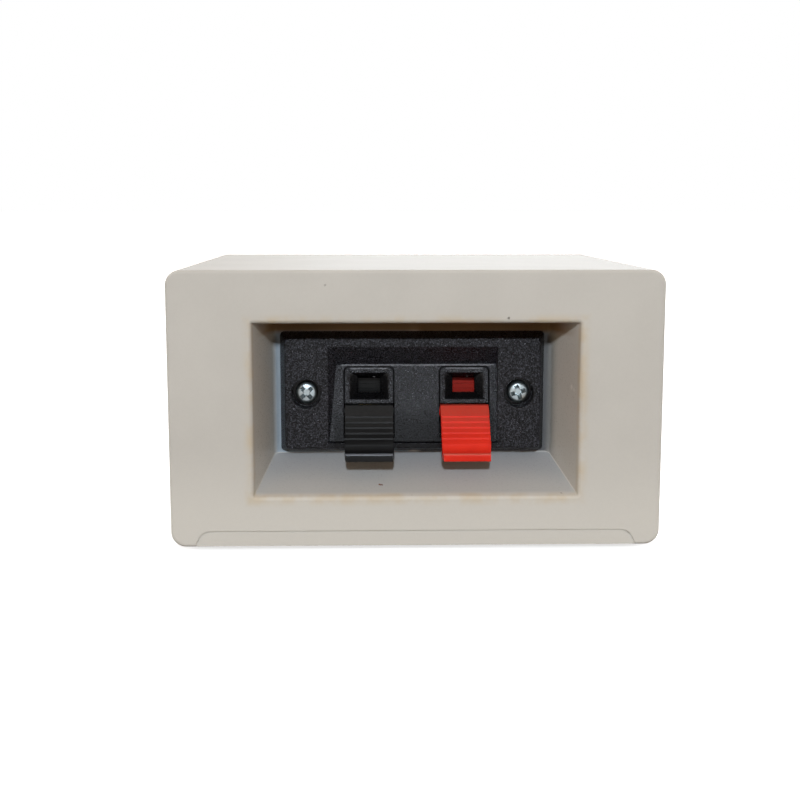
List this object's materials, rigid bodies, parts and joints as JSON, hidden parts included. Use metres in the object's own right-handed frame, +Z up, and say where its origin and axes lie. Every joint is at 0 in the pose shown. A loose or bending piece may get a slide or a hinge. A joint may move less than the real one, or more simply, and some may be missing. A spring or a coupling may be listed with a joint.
{
  "type": "loudspeaker",
  "caption": "Compact moulded loudspeaker with a honeycomb grille, one full-range driver and a recessed push terminal with sprung levers in its rear.",
  "frame": {"origin": "on the surface that the feet stand on, under the middle of the cabinet", "axes": "+Z up; +Y the way the loudspeaker faces, so -Y is the rear with the terminal; +X to the right as seen from the rear"},
  "size_m": [0.0984, 0.088, 0.0566],
  "materials": {
    "cabinet_plastic": "fine moulded texture, satin",
    "foot_rubber": "matt",
    "terminal_plastic": "fine spark texture",
    "black_lever_plastic": "smooth, half gloss",
    "red_lever_plastic": "smooth, half gloss",
    "spring_steel": "bright wire",
    "contact_brass": "stamped strip",
    "screw_steel": "zinc plated",
    "grille_paint": "satin paint on steel sheet",
    "frame_steel": "black pressed steel",
    "motor_steel": "zinc plated",
    "ferrite": "ground ceramic magnet",
    "former_aluminium": "foil",
    "coil_wire": "enamelled copper wire",
    "cone_paper": "pressed paper",
    "cap_paper": "pressed paper",
    "surround_rubber": "soft, matt",
    "gasket_card": "fibre card",
    "spider_cloth": "doped cloth",
    "board_laminate": "paper laminate",
    "black_insulation": "wire insulation",
    "red_insulation": "wire insulation"
  },
  "bodies": {
    "cabinet": {"rear_cabinet": "cabinet_plastic", "front_frame": "cabinet_plastic", "rubber_feet": "foot_rubber", "terminal_plate": "terminal_plastic", "terminal_body": "terminal_plastic", "black_spring": "spring_steel", "red_spring": "spring_steel", "black_contact": "contact_brass", "red_contact": "contact_brass", "terminal_screws": "screw_steel", "front_screws": "screw_steel", "driver_screws": "screw_steel", "front_grille": "grille_paint", "driver_frame": "frame_steel", "top_plate": "motor_steel", "yoke": "motor_steel", "ring_magnet": "ferrite", "surround": "surround_rubber", "gasket": "gasket_card", "spider": "spider_cloth", "terminal_board": "board_laminate", "black_lug": "contact_brass", "red_lug": "contact_brass", "black_lead": "black_insulation", "red_lead": "red_insulation"},
    "black_lever": {"black_lever": "black_lever_plastic"},
    "red_lever": {"red_lever": "red_lever_plastic"},
    "cone_and_coil": {"cone": "cone_paper", "dust_cap": "cap_paper", "coil_former": "former_aluminium", "coil_winding": "coil_wire"}
  },
  "joints": [
    {"name": "black_lever_press", "type": "hinge", "parent": "cabinet", "child": "black_lever", "pos_m": [-0.0094, -0.0304, 0.0265], "axis": [1, 0, 0], "range_deg": [0, 14], "stiffness_Nm_per_rad": 0.12, "springref_deg": -11.46, "deforming": ["black_spring"]},
    {"name": "red_lever_press", "type": "hinge", "parent": "cabinet", "child": "red_lever", "pos_m": [0.0104, -0.0304, 0.0265], "axis": [1, 0, 0], "range_deg": [0, 14], "stiffness_Nm_per_rad": 0.12, "springref_deg": -11.46, "deforming": ["red_spring"]},
    {"name": "cone_travel", "type": "slide", "parent": "cabinet", "child": "cone_and_coil", "axis": [0, 1, 0], "range_m": [-0.0012, 0.0012], "stiffness_N_per_m": 1000, "deforming": ["surround", "spider"]}
  ]
}
